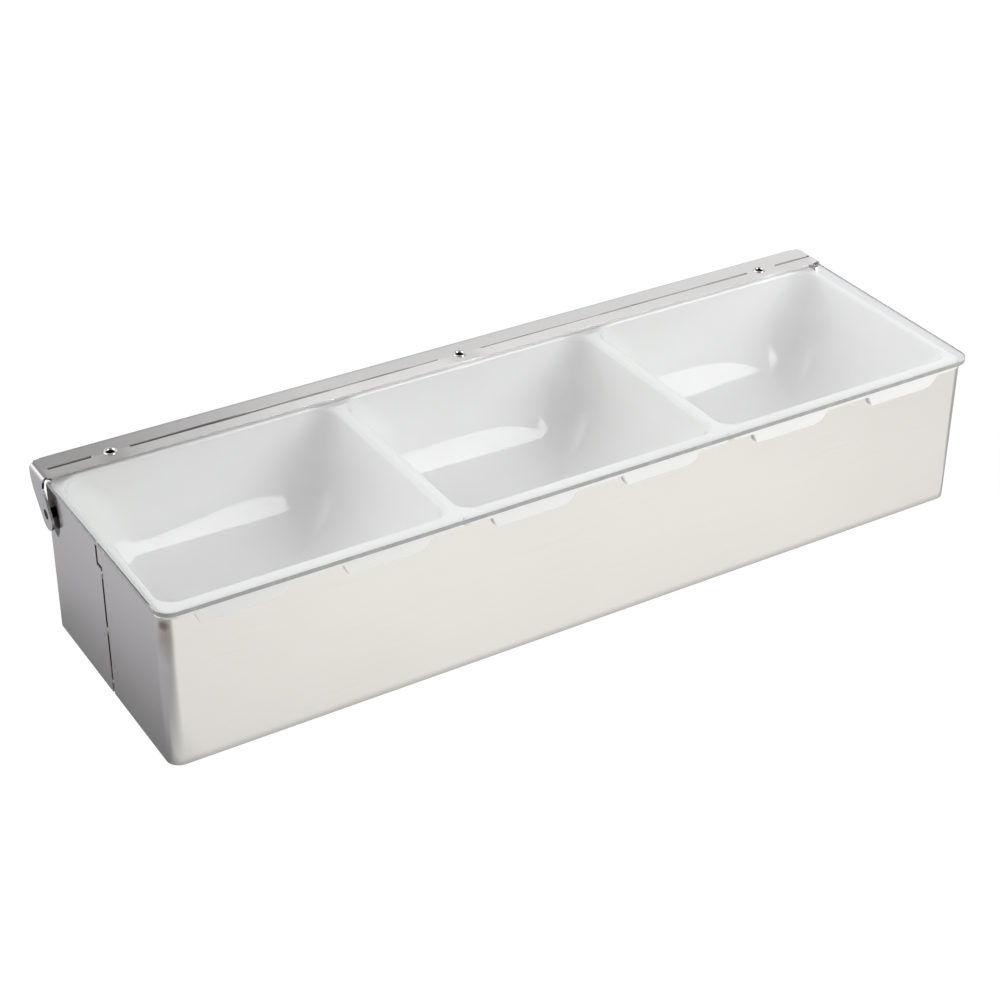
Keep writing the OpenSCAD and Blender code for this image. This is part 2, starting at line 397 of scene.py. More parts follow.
def black_metal(name):
    m = Nodes(name)
    p = m.add("ShaderNodeBsdfPrincipled")
    m.link(p.outputs[0], m.out.inputs["Surface"])
    c = m.coords()
    a = m.noise(700.0, c, 4.0, 0.6)
    m.link(
        m.ramp(m.remap(a, 0.3, 0.7), [(0.0, (0.006, 0.006, 0.006)), (1.0, (0.02, 0.019, 0.018))]),
        p.inputs["Base Color"],
    )
    p.inputs["Metallic"].default_value = 0.0
    p.inputs["Specular IOR Level"].default_value = 0.18
    m.link(m.remap(a, 0.3, 0.7, 0.35, 0.5), p.inputs["Roughness"])
    m.link(m.bump(a, 0.3, 0.00002), p.inputs["Normal"])
    return m.mat


def weld_metal(name):
    m = Nodes(name)
    p = m.add("ShaderNodeBsdfPrincipled")
    m.link(p.outputs[0], m.out.inputs["Surface"])
    c = m.coords()
    a = m.noise(500.0, c, 4.0, 0.6)
    m.link(
        m.ramp(
            m.remap(a, 0.3, 0.7),
            [(0.0, (0.10, 0.085, 0.07)), (0.5, (0.30, 0.26, 0.22)), (1.0, (0.52, 0.50, 0.47))],
        ),
        p.inputs["Base Color"],
    )
    p.inputs["Metallic"].default_value = 1.0
    m.link(m.remap(a, 0.3, 0.7, 0.3, 0.6), p.inputs["Roughness"])
    m.link(m.bump(a, 0.6, 0.0001), p.inputs["Normal"])
    return m.mat


# painted reflection and shade on each end wall round the pivot: a broad dull brown patch above and behind it, and a
# tall near-black patch beside the pin where the ear's dark inner side is mirrored
RIVET_SHADE = [
    ((s * 152.5, 42.0, 52.0), (30.0, 9.0, 13.5), 0.80, 1.02, (0.085, 0.072, 0.064), 0.70) for s in (-1, 1)
] + [((s * 152.5, 37.8, 44.6), (6.0, 1.0, 1.75), 3.4, 4.1, (0.008, 0.007, 0.006), 0.96) for s in (-1, 1)]
# darker brown spots in the steel's colour: one under the rim at the front-left corner, a longer streak below it and a
# small one on the left end
TINTS = [
    ((-151.2, -42.9, 51.2), (1.0, 1.0, 1.25), 0.7, 2.0, (0.16, 0.115, 0.075), 0.85),
    ((-151.4, -43.2, 47.0), (1.2, 1.2, 3.4), 0.5, 3.0, (0.38, 0.32, 0.26), 0.55),
    ((-152.5, 2.6, 21.0), (1.0, 1.0, 1.0), 0.3, 1.1, (0.25, 0.21, 0.17), 0.5),
]
STEEL = steel(
    "steel_body", (0.655, 0.640, 0.612), (0.685, 0.670, 0.642), 0.18, 0.02, wave=0.00012, marks=RIVET_SHADE + TINTS
)
STEEL_IN = steel("steel_inner", (0.42, 0.42, 0.42), (0.52, 0.52, 0.51), 0.42, 0.06)
STEEL_EAR = steel("steel_ear", (0.585, 0.575, 0.57), (0.625, 0.615, 0.61), 0.22, 0.03, grain=(2, 220, 220))
# its mark is a painted reflection: the bar's colour darkens towards its left end
STEEL_BAR = steel(
    "steel_bar", (0.595, 0.584, 0.582), (0.632, 0.622, 0.62), 0.22, 0.03, grain=(2, 220, 220),
    marks=[((-160.0, 50.0, 57.0), (1.0, 1.0, 1.0), 24.0, 104.0, (0.372, 0.362, 0.360), 1.0)],
)
# painted shade: near-black steel for the pressed lines, dark from shade in the crease
GROOVE_SHADE = steel("bar_groove", (0.085, 0.08, 0.082), (0.17, 0.16, 0.16), 0.34, 0.05, grain=(2, 220, 220))
SHADED = steel("steel_shaded", (0.05, 0.047, 0.045), (0.09, 0.085, 0.08), 0.35, 0.05)
EYELET = steel("eyelet_metal", (0.60, 0.58, 0.55), (0.72, 0.70, 0.68), 0.14, 0.04, grain=(60, 60, 60))
# painted shade: near-black steel for the eyelets' bores
BORE_SHADE = steel("eyelet_bore", (0.035, 0.033, 0.032), (0.07, 0.066, 0.062), 0.3, 0.04, grain=(60, 60, 60))
WHITE = white_plastic("white_insert")
# painted shade: the same white plastic, 7% darker, for the skirt's front faces under the rim
SKIRT_SHADE = white_plastic("white_insert_skirt", 0.93)
CLEAR = clear_plastic("clear_lid")
EDGE_REFLECTION_GREY = lid_edge("clear_lid_edge")
BLACK = black_metal("black_pin")
WELD = weld_metal("weld")

# ------------------------------------------------------------------ sizes, mm
BL, BW, BH = 305.0, 88.0, 54.0
XR, YF, YB = BL / 2, -BW / 2, BW / 2
ST = 0.8
RF, RB = 4.5, 1.2
SEAM, JOG, JOGZ, SW = 44.2, 3.1, 47.2, 1.2
RIM_Z, RIM_T = 54.0, 1.6
RIM_TOP = RIM_Z + RIM_T
PITCH, FIRST, IL = 101.0, 0.5, 100.8
DRAFT = math.radians(4.0)
FLOOR_Z, FIL = 16.0, 25.0
TILT = math.radians(0.57)
LY, LZ = YF - 2.3, RIM_TOP + 0.05
PIV = (YF + 84.6, 45.0)


def lidp(x, v, w):
    return (
        x,
        LY + v * math.cos(TILT) - w * math.sin(TILT),
        LZ + v * math.sin(TILT) + w * math.cos(TILT),
    )


def to_lid(y, z):
    return (
        (y - LY) * math.cos(TILT) + (z - LZ) * math.sin(TILT),
        -(y - LY) * math.sin(TILT) + (z - LZ) * math.cos(TILT),
    )


# ------------------------------------------------------------------ inserts
def tab_line(left, bl, br, tr):
    """Depth of the skirt along the front, from left to right: steep left side, rounded right side."""
    k = (tr - br) / 3.5
    return [
        (left - 0.1, 0.0),
        (left + 0.05, 0.25),
        (bl - 0.2, 3.55),
        (bl - 0.05, 3.8),
        (bl + 0.25, 3.9),
        (br - 1.95, 3.9),
        (br - 0.55, 3.76),
        (br + 0.65 * k, 3.36),
        (br + 1.65 * k, 2.72),
        (br + 2.40 * k, 1.95),
        (br + 2.90 * k, 1.15),
        (br + 3.35 * k, 0.5),
        (br + 3.85 * k, 0.15),
        (br + 4.6 * k, 0.0),
    ]


TABS = tab_line(9.85, 11.55, 36.75, 40.3) + tab_line(58.5, 60.25, 84.95, 88.4)
R_END, R_MID = 5.0, 2.2  # rim corners at the box's ends and between two inserts


def front_steps(rl, rr):
    ft = [0.0, 0.02] + [(x - rl) / (IL - rl - rr) for x, d in TABS]
    dr = [0.0, 0.0] + [d for x, d in TABS]
    ft += [(50.0 - rl) / (IL - rl - rr), 0.96, 1.0]
    dr += [0.0, 0.0, 0.0]
    return sorted(zip(ft, dr))


NC = 14


def rr_ring(x0, x1, y0, y1, rl, rr, rb, z, ft, drop=0.0):
    """Rounded rectangle as a ring of points; drop 1 lets the front follow the tabs' outline."""
    rl, rr, rb = max(rl, 0.02), max(rr, 0.02), max(rb, 0.02)
    pts = [(x0 + rl + t * (x1 - x0 - rl - rr), y0, z - d * drop) for t, d in ft]

    def arc(cx, cy, r, a0):
        for k in range(1, NC + 1):
            a = math.radians(a0 + 90 * k / NC)
            pts.append((cx + r * math.cos(a), cy + r * math.sin(a), z))

    def side(ax, ay, bx, by, n):
        for k in range(1, n):
            pts.append((ax + (bx - ax) * k / n, ay + (by - ay) * k / n, z))
        pts.append((bx, by, z))

    arc(x1 - rr, y0 + rr, rr, -90)
    side(x1, y0 + rr, x1, y1 - rb, 6)
    arc(x1 - rb, y1 - rb, rb, 0)
    side(x1 - rb, y1, x0 + rb, y1, 8)
    arc(x0 + rb, y1 - rb, rb, 90)
    side(x0, y1 - rb, x0, y0 + rl, 6)
    arc(x0 + rl, y0 + rl, rl, 180)
    pts.pop()
    return pts


def insert_piece(k, name):
    ox = -XR + FIRST + k * PITCH
    oy0, oy1 = YF - 1.55, YB - 0.4
    cx0, cx1, cy0, cy1 = 2.35, IL - 2.35, YF + 4.1, YB - 0.4 - 3.2
    zc = FLOOR_Z + FIL
    zt = zc - FIL * math.sin(DRAFT)
    c0 = (RIM_TOP - zt) * math.tan(DRAFT) - FIL * (1 - math.cos(DRAFT))
    deep = (18.0, 20.0)  # corner radii where the fillet starts
    top = (6.0, 8.0)

    rl, rr = (R_END if k == 0 else R_MID), (R_END if k == 2 else R_MID)
    ft = front_steps(rl, rr)

    def cav(inset, z, rf, rb, left=0.0, right=0.0):
        return rr_ring(
            ox + cx0 + inset - left, ox + cx1 - inset + right, cy0 + inset, cy1 - inset, rf, rf, rb, z, ft
        )

    # neighbouring rims stand flush against each other
    sl, sr = (1.0 if k == 0 else 0.0), (1.0 if k == 2 else 0.0)
    gl, gr = (0.0 if k == 0 else 0.1), (0.0 if k == 2 else 0.1)

    def outer(inset, z, drop=0.0):
        il, ir = (inset * sl, inset * sr) if inset < 0.6 else (inset, inset)
        return rr_ring(
            ox - gl + il, ox + IL + gr - ir, oy0 + inset, oy1 - inset,
            rl - inset, rr - inset, 3.0 - inset * 0.8, z, ft, drop,
        )

    def bowl(th, z_from):
        """Rings down the wall, round the fillet and onto the floor, th outside the inner face."""
        rings = []
        n = 8
        for i in range(n + 1):
            z = z_from + (zt - z_from) * i / n
            f = (RIM_TOP - z) / (RIM_TOP - zt)
            f = f * f * (3 - 2 * f) * 0.6 + f * 0.4
            ins = (RIM_TOP - z) * math.tan(DRAFT)
            rings.append(
                cav(ins - th, z, top[0] + (deep[0] - top[0]) * f + th, top[1] + (deep[1] - top[1]) * f + th)
            )
        n = 16
        a0 = math.degrees(DRAFT)
        for i in range(1, n + 1):
            a = math.radians(a0 + (90 - a0) * i / n)
            d = FIL - (FIL + th) * math.cos(a)
            rings.append(cav(c0 + d, zc - (FIL + th) * math.sin(a), deep[0] - d, deep[1] - d))
        return rings

    lip, fall = 0.95, 1.35  # rounded inner edge of the rim, wider towards the neighbouring insert
    inside = bowl(0.0, RIM_TOP - fall)
    outside = bowl(1.5, RIM_Z - 1.2)
    edge = []
    for i in range(10):
        a = math.radians(90 - 86 * i / 9)
        more = (2.22 - lip) * (1.0 - math.cos(a))
        edge.append(
            cav(
                -lip * (1.0 - math.cos(a)) + fall * (1 - math.sin(a)) * math.tan(DRAFT),
                RIM_TOP - fall + fall * math.sin(a),
                top[0] + lip * (1 - math.cos(a)),
                top[1] + lip * (1 - math.cos(a)),
                more if k > 0 else 0.0,
                more if k < 2 else 0.0,
            )
        )
    rings = [*reversed(outside)]
    for i in range(4):  # fillet under the rim
        a = math.radians(90 * i / 3)
        e = 1.2 * (1 - math.cos(a))
        rings.append(
            cav(-1.5 - e + 1.2 * math.tan(DRAFT) * 0.3, RIM_Z - 1.2 + 1.2 * math.sin(a), top[0] + 1.5 + e, top[1] + 1.5 + e)
        )
    rings.append(outer(1.45, RIM_Z))
    rings.append(outer(1.45, RIM_Z, 1.0))
    for d, h in ((1.2, 0.0), (0.22, 0.0), (0.07, 0.07), (0.0, 0.22)):
        rings.append(outer(d, RIM_Z + h, 1.0))
    rings.append(outer(0.0, RIM_Z + 0.8))
    for i in range(5):
        a = math.radians(90 * i / 4)
        rings.append(outer(0.5 * (1 - math.cos(a)), RIM_TOP - 0.5 + 0.5 * math.sin(a)))
    rings += edge
    rings += inside
    v, f = loft(rings, cap0=True, cap1=True)
    o = make(name, v, f, [WHITE, SKIRT_SHADE], sharp=40)
    # the skirt's front faces under the rim take the darker painted-shade copy
    for q in o.data.polygons:
        c = q.center / MM
        if c.y < oy0 + 0.3 and c.z < RIM_Z + 0.9 and q.normal.y < -0.5:
            q.material_index = 1
    weighted(o)
    return o


for k, side in enumerate(("left", "middle", "right")):
    o = insert_piece(k, "white_insert_" + side)
    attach(o, "root")
    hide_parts("insert_" + side)


# ------------------------------------------------------------------ steel shells
def wrap_path(ys, step, n_corner, r, y_end, sgn):
    """Plan of one wrap as (x, y, outward normal), from the left seam round to the right one.
    sgn -1 runs round the front, +1 round the back."""
    cx, cy = XR - r, y_end - sgn * r
    pts = [(-XR, y, -1.0, 0.0) for y in ys]
    for k in range(1, n_corner + 1):
        a = math.radians(180 - sgn * 90 * k / n_corner)
        pts.append((-cx + r * math.cos(a), cy + r * math.sin(a), math.cos(a), math.sin(a)))
    n = step
    for k in range(1, n + 1):
        pts.append((-cx + 2 * cx * k / n, y_end, 0.0, float(sgn)))
    for k in range(1, n_corner + 1):
        a = math.radians(sgn * 90 - sgn * 90 * k / n_corner)
        pts.append((cx + r * math.cos(a), cy + r * math.sin(a), math.cos(a), math.sin(a)))
    for y in reversed(ys[:-1]):
        pts.append((XR, y, 1.0, 0.0))
    return pts


def shell(name, path, zs, has):
    """Sheet of thickness ST inside the path; has(col, row) says which cells exist."""
    ncol, nrow = len(path), len(zs)
    verts = [(x, y, z) for x, y, nx, ny in path for z in zs]
    verts += [(x - nx * ST, y - ny * ST, z) for x, y, nx, ny in path for z in zs]
    off = ncol * nrow
    cells = [(i, j) for i in range(ncol - 1) for j in range(nrow - 1) if has(i, j)]
    there = set(cells)
    faces = []
    for i, j in cells:
        a, b, c, d = i * nrow + j, (i + 1) * nrow + j, (i + 1) * nrow + j + 1, i * nrow + j + 1
        faces.append((a, b, c, d))
        faces.append((d + off, c + off, b + off, a + off))
        if (i - 1, j) not in there:
            faces.append((d, d + off, a + off, a))
        if (i + 1, j) not in there:
            faces.append((b, b + off, c + off, c))
        if (i, j - 1) not in there:
            faces.append((a, a + off, b + off, b))
        if (i, j + 1) not in there:
            faces.append((c, c + off, d + off, d))
    return make(name, verts, faces, [STEEL], sharp=25)


def rows(levels, n):
    out = []
    for a, b in zip(levels, levels[1:]):
        k = max(1, round((b - a) / n))
        out += [a + (b - a) * i / k for i in range(k)]
    return out + [levels[-1]]


y_low, y_high = YF + SEAM - SW / 2, YF + SEAM + JOG - SW / 2
ys = [y_high, y_low, -8.0, -18.0, -28.0, YF + RF]
path = wrap_path(ys, 24, 20, RF, YF, -1)
zs = rows([0.0, JOGZ + SW / 2, BH], 9.0)
last = len(path) - 2
j_cut = zs.index(JOGZ + SW / 2)
front = shell("front_wrap", path, zs, lambda i, j: j >= j_cut or 0 < i < last)
bevel(front, 0.14, 3, 50)
weighted(front)
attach(front, "root")
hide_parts("front_shell")

y_low, y_high = YF + SEAM + SW / 2, YF + SEAM + JOG + SW / 2
ys = [y_low, y_high, 14.0, 24.0, 34.0, YB - RB]
path = wrap_path(ys, 24, 10, RB, YB, 1)
zs = rows([0.0, JOGZ - SW / 2, BH], 9.0)
last = len(path) - 2
j_cut = zs.index(JOGZ - SW / 2)
rear = shell("rear_wrap", path, zs, lambda i, j: j < j_cut or 0 < i < last)
for s in (-1, 1):
    cut(rear, cylinder_cutter((s * (XR + 3), PIV[0], PIV[1]), (s * (XR - 3), PIV[0], PIV[1]), 1.73))
finish_mesh(rear, 25)
bevel(rear, 0.14, 3, 50)
weighted(rear)
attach(rear, "root")
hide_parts("rear_shell")


# ------------------------------------------------------------------ clear lid
def outline_lid(inset):
    x = XR + 1.15 - inset
    xn = 151.8 - inset
    r = 6.0 - inset
    v0, vn, v1 = inset, 85.0 - inset, 94.8 - inset
    pts = []
    for k in range(17):
        a = math.radians(180 + 90 * k / 16)
        pts.append((-x + r + r * math.cos(a), v0 + r + r * math.sin(a)))
    for k in range(1, 24):
        pts.append((-x + r + (2 * x - 2 * r) * k / 24, v0))
    for k in range(17):
        a = math.radians(270 + 90 * k / 16)
        pts.append((x - r + r * math.cos(a), v0 + r + r * math.sin(a)))
    pts += [(x, vn), (xn, vn), (xn, v1 - 1.5), (xn - 1.5, v1)]
    pts += [(-xn + 1.5, v1), (-xn, v1 - 1.5), (-xn, vn), (-x, vn)]
    return pts


LT = 1.4
rings = [
    [lidp(x, v, w) for x, v in outline_lid(i)]
    for i, w in ((0.1, 0.0), (0.03, 0.03), (0.0, 0.1), (0.0, LT - 0.1), (0.03, LT - 0.03), (0.1, LT))
]
v, f = loft(rings, cap0=True, cap1=True)
lid = make("clear_lid_panel", v, f, [CLEAR, EDGE_REFLECTION_GREY], sharp=20, face_mat=[1] * (len(f) - 2) + [0, 0])
EYE_V = 88.5 + 2.3
EYE_X = (-129.65, 0.0, 129.65)
for x in EYE_X:
    cut(lid, cylinder_cutter(lidp(x, EYE_V, -2), lidp(x, EYE_V, 4), 1.53))
finish_mesh(lid, 20)
weighted(lid)
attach(lid, "lid")
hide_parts("lid_panel")

# ------------------------------------------------------------------ hinge bar
pv, pw = to_lid(*PIV)
EAR_X = XR + 1.5 + ST  # outer face of an ear
BO = 1.8
FLAT = EAR_X - BO
V0, V1 = 83.3 + 2.3, 97.1 + 2.3
W1 = LT + ST
RB2 = 1.5
ER = 4.35
EC = (-0.1, -1.3)


def tangent(p, s):
    q = (p[0] - EC[0], p[1] - EC[1])
    a = math.atan2(q[1], q[0]) + s * math.acos(ER / math.hypot(*q))
    return (EC[0] + ER * math.cos(a), EC[1] + ER * math.sin(a))


h_bend = W1 - BO - pw
PF, PR = (0.5, 9.2), (8.8, 4.5)
tf, trr = tangent(PF, 1), tangent(PR, -1)
VF, VE = pv - 0.6, pv + 10.2  # front and rear of the bends
# from, to, half width at the left and at the right end
GROOVES = (
    (-150.9, -135.6, 0.66, 0.60), (-122.9, -8.7, 0.66, 0.24), (8.7, 124.0, 0.18, 0.42), (137.0, 152.9, 0.40, 0.46),
)
GD = 0.45


def smooth01(t):
    t = max(0.0, min(1.0, t))
    return t * t * (3 - 2 * t)


def groove_depth(x, v):
    best = 0.0
    for a, b, g0, g1 in GROOVES:
        gw = g0 + (g1 - g0) * max(0.0, min(1.0, (x - a) / (b - a)))
        a, b = a + gw, b - gw
        dx = max(a - x, 0.0, x - b)
        d = math.hypot(dx, v - EYE_V) / gw
        if d < 1:
            best = max(best, GD * min(1.0, gw / 0.4) * (1 - d * d) ** 0.8)
    return best


def crease(x):
    """1 along the pressed lines, fading to 0 at the eyelets and at the bar's ends."""
    best = max(1 - smooth01(max(a - x, x - b, 0.0) / 5.5) for a, b, g0, g1 in GROOVES)
    return best * (1 - smooth01((abs(x) - 151.4) / 1.5))


xs = set()
for a, b, g0, g1 in GROOVES:
    for e, s, gw in ((a, 1, g0), (b, -1, g1)):
        for k in range(9):
            xs.add(round(e + s * gw * k / 8, 4))
        for q in (1.6, 3.0, -1.5, -3.0, -4.5, -6.0):
            xs.add(round(e + s * q, 4))
xs |= {-FLAT, FLAT, -FLAT + 2.4, FLAT - 2.4}
base = [x for x in sorted(xs) if -FLAT <= x <= FLAT]
for a, b in zip(base, base[1:]):
    n = int((b - a) / 8.0)
    for k in range(1, n + 1):
        xs.add(round(a + (b - a) * k / (n + 1), 4))
xs = [x for x in sorted(xs) if -FLAT <= x <= FLAT]
vs_ = [V0, V0 + 0.35, V0 + 1.4, V0 + 2.4, V0 + 3.4, EYE_V - 1.3]
vs_ += [EYE_V + q for q in (-0.85, -0.66, -0.5, -0.4, -0.3, -0.2, -0.1, 0.0, 0.1, 0.2, 0.3, 0.4, 0.5, 0.66, 0.85)]
vs_ += [EYE_V + 1.3, EYE_V + 2.5, EYE_V + 4.2, VF, VE, V1 - RB2]
vs_ = sorted(vs_)
verts, faces, fmat = [], [], []
index = {}


def vert(key, p):
    if key not in index:
        index[key] = len(verts)
        verts.append(p)
    return index[key]


def top_w(x, v):
    # along the pressed lines the strip in front of them slopes down a little
    dip = 0.27 * crease(x) * max(0.0, (EYE_V - 0.2 - v) / (EYE_V - 0.2 - V0))
    return W1 - groove_depth(x, v) - dip


# faces in the pressed lines, which take the painted-shade groove steel
def in_groove(x, v):
    for a, b, g0, g1 in GROOVES:
        gw = g0 + (g1 - g0) * max(0.0, min(1.0, (x - a) / (b - a)))
        if abs(v - EYE_V) < gw + 0.07 and a - 0.05 < x < b - (0.7 if b < 0 and a < -130 else -0.05):
            return 1
    return 0


for i in range(len(xs) - 1):
    for j in range(len(vs_) - 1):
        q = []
        for a, b in ((i, j), (i + 1, j), (i + 1, j + 1), (i, j + 1)):
            q.append(vert(("t", a, b), lidp(xs[a], vs_[b], top_w(xs[a], vs_[b]))))
        faces.append(tuple(q))
        fmat.append(in_groove((xs[i] + xs[i + 1]) / 2, (vs_[j] + vs_[j + 1]) / 2))
# rear bend and flange
jr = len(vs_) - 1
NB = 6
ia = xs.index(-FLAT + 2.4)
ib = xs.index(FLAT - 2.4)
for i in range(ia, ib):
    prev = [vert(("t", i, jr), None), vert(("t", i + 1, jr), None)]
    levels = []
    for k in range(1, NB + 1):
        a = math.radians(90 - 90 * k / NB)
        levels.append((V1 - RB2 + RB2 * math.cos(a), W1 - RB2 + RB2 * math.sin(a)))
    levels += [(V1, W1 - 2.6), (V1, W1 - 3.8)]
    for k, (vv, ww) in enumerate(levels):
        cur = [
            vert(("r", i, k), lidp(xs[i], vv, ww)),
            vert(("r", i + 1, k), lidp(xs[i + 1], vv, ww)),
        ]
        faces.append((prev[0], prev[1], cur[1], cur[0]))
        prev = cur
# ears
j0, je = vs_.index(VF), vs_.index(VE)
LEAN = 0.6
for s, i in ((-1, 0), (1, len(xs) - 1)):
    js = range(j0, je + 1)
    prev = [vert(("t", i, j), None) for j in js]
    for k in range(1, NB + 1):
        a = math.radians(90 - 90 * k / NB)
        cur = [
            vert(("b", s, k, j), lidp(s * (FLAT + BO * math.cos(a)), vs_[j], W1 - BO + BO * math.sin(a)))
            for j in js
        ]
        for j in range(len(js) - 1):
            faces.append((prev[j], prev[j + 1], cur[j + 1], cur[j]))
        prev = cur

    def ear_x(w):
        # the ear leans in towards the wall lower down
        f = max(0.0, min(1.0, (W1 - BO - w) / (W1 - BO - pw + ER)))
        return s * (EAR_X - LEAN * f)

    loop = [PF]
    a0 = math.atan2(tf[1] - EC[1], tf[0] - EC[0])
    a1 = math.atan2(trr[1] - EC[1], trr[0] - EC[0]) + 2 * math.pi
    for k in range(33):
        a = a0 + (a1 - a0) * k / 32
        loop.append((EC[0] + ER * math.cos(a), EC[1] + ER * math.sin(a)))
    loop += [PR, (9.7, 6.5), (10.2, 8.7)]
    ids = [
        vert(("e", s, k), lidp(ear_x(pw + q[1]), pv + q[0], pw + q[1]))
        for k, q in enumerate(loop)
    ]
    faces.append(tuple(reversed(prev)) + tuple(ids))
fmat += [0] * (len(faces) - len(fmat))
bar = make("hinge_bar_sheet", verts, faces, [STEEL_BAR, GROOVE_SHADE, SHADED, STEEL_EAR], sharp=32, face_mat=fmat)
bm = bmesh.new()
bm.from_mesh(bar.data)
bmesh.ops.recalc_face_normals(bm, faces=bm.faces)
mid = max(bm.faces, key=lambda f: f.calc_area())
ups = sum(f.normal.z * f.calc_area() for f in bm.faces)
if ups < 0:
    bmesh.ops.reverse_faces(bm, faces=bm.faces)
bm.to_mesh(bar.data)
bm.free()
m = bar.modifiers.new("sheet", "SOLIDIFY")
m.thickness = ST * MM
m.offset = -1.0
m.use_even_offset = True
bake_mods(bar)
bm = bmesh.new()
bm.from_mesh(bar.data)
for q in bm.verts:
    # the pressed lines don't reach into the clear sheet below
    vv, ww = to_lid(q.co.y / MM, q.co.z / MM)
    if abs(q.co.x) < 151.9 * MM and vv < 95.0 and ww < LT + 0.02:
        nx, ny, nz = lidp(q.co.x / MM, vv, LT + 0.02)
        q.co.y, q.co.z = ny * MM, nz * MM
bmesh.ops.recalc_face_normals(bm, faces=bm.faces)
for f in bm.faces:
    c = f.calc_center_median() / MM
    vv, ww = to_lid(c.y, c.z)
    if abs(c.x) > 152.2 and (f.normal.x * c.x < -0.35 * abs(c.x) or f.normal.z < -0.35):
        f.material_index = 2
    elif abs(c.x) > FLAT + 0.9:
        f.material_index = 3
bm.to_mesh(bar.data)
bm.free()
for x in EYE_X:
    cut(bar, cylinder_cutter(lidp(x, EYE_V, -2), lidp(x, EYE_V, 6), 1.53))
for s in (-1, 1):
    cut(bar, cylinder_cutter((s * (EAR_X + 3), *PIV), (s * (EAR_X - 3), *PIV), 1.75))
finish_mesh(bar, 30)
weighted(bar)
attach(bar, "lid")
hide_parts("hinge_bar")

# ------------------------------------------------------------------ eyelets
EYE = [
    (1.18, -0.28), (1.18, 1.30), (1.24, 1.70), (1.36, 2.05), (1.54, 2.32), (1.76, 2.48), (1.96, 2.52), (2.14, 2.46),
    (2.26, 2.34), (2.31, 2.2), (2.27, W1 - 0.02), (1.5, W1 - 0.02), (1.5, 0.0), (2.2, 0.0),
    (2.38, -0.08), (2.36, -0.26), (2.2, -0.34), (1.3, -0.34), (1.22, -0.32),
]
axis = Vector(lidp(0, 0, 1)) - Vector(lidp(0, 0, 0))
parts = [lathe("eyelet_%d" % k, EYE, lidp(x, EYE_V, 0), axis, [EYELET], 48, 50) for k, x in enumerate(EYE_X)]
for k, o in enumerate(parts):
    o.data.materials.append(BORE_SHADE)
    ex = EYE_X[k]
    # faces of the bore take the painted-shade steel
    for f in o.data.polygons:
        c = f.center / MM
        vv, ww = to_lid(c.y, c.z)
        if math.hypot(c.x - ex, vv - EYE_V) < 1.33:
            f.material_index = 1
    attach(o, "lid")
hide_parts("lid_eyelets")

# ------------------------------------------------------------------ pins
for s, side in ((-1, "left"), (1, "right")):
    out = EAR_X - 0.65 - (XR - ST)
    prof = [
        (0.0, -0.9), (1.8, -0.9), (2.05, -0.82), (2.15, -0.65), (2.15, 0.0), (1.7, 0.0), (1.7, out - 0.25),
        (1.62, out - 0.08), (1.4, out), (0.0, out),
    ]
    o = lathe("pin_" + side, prof, (s * (XR - ST), *PIV), (s, 0, 0), [BLACK], 48, 40)
    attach(o, "root")
    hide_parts("pivot_pin_" + side)

# ------------------------------------------------------------------ welds
verts, faces = [], []
for s in (-1, 1):
    for z0 in (2.0, 22.0, 43.0):
        base = len(verts)
        nu, nv = 16, 12
        for i in range(nv + 1):
            t = math.pi * i / nv
            for j in range(nu):
                p = 2 * math.pi * j / nu
                d = Vector((math.cos(p) * math.sin(t), math.sin(p) * math.sin(t), math.cos(t)))
                k = 1 + 0.22 * noise.noise(d * 1.7 + Vector((z0, s, 0)))
                x = s * (XR - 0.42 + max(-0.36, min(0.70, d.x * 0.75 * k)))
                y = YF + SEAM + max(-0.6, min(0.6, d.y * 0.85 * k))
                verts.append((x, y, z0 + 1.5 + d.z * 1.5 * (1 + 0.1 * (k - 1))))
        for i in range(nv):
            for j in range(nu):
                jj = (j + 1) % nu
                faces.append((base + i * nu + j, base + i * nu + jj, base + (i + 1) * nu + jj, base + (i + 1) * nu + j))
welds = make("seam_weld_beads", verts, faces, [WELD], sharp=60)
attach(welds, "root")
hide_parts("seam_welds")

# ------------------------------------------------------------------ carried-over parts
for n, mat, sl in (
    ("base_pan", STEEL_IN, "steel_body"),
    ("seam_strap_left", SHADED, "steel_inner"),
    ("seam_strap_right", SHADED, "steel_inner"),
):
    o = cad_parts[n]
    o.data.materials.clear()
    o.data.materials.append(mat)

# ------------------------------------------------------------------ stage
fv, ff = [], []
S = 4000.0
fv = [(-S, -S, 0), (S, -S, 0), (S, S, 0), (-S, S, 0)]
floor = make("floor", fv, [(0, 1, 2, 3)], [])
fm = Nodes("floor_white")
# the camera sees a plain pale floor; the object sees a table that is lit
# from below on the right and falls off to the left, with painted shadow of the box on it, darkest next to the box's
# ends
d = fm.add("ShaderNodeBsdfDiffuse")
d.inputs["Color"].default_value = (0.10, 0.10, 0.10, 1)
e = fm.add("ShaderNodeEmission")
co = fm.add("ShaderNodeTexCoord")
sx = fm.add("ShaderNodeSeparateXYZ")
fm.link(co.outputs["Object"], sx.inputs["Vector"])
out_x = fm.math("SUBTRACT", fm.math("ABSOLUTE", sx.outputs["X"], 0.0), 0.1525)
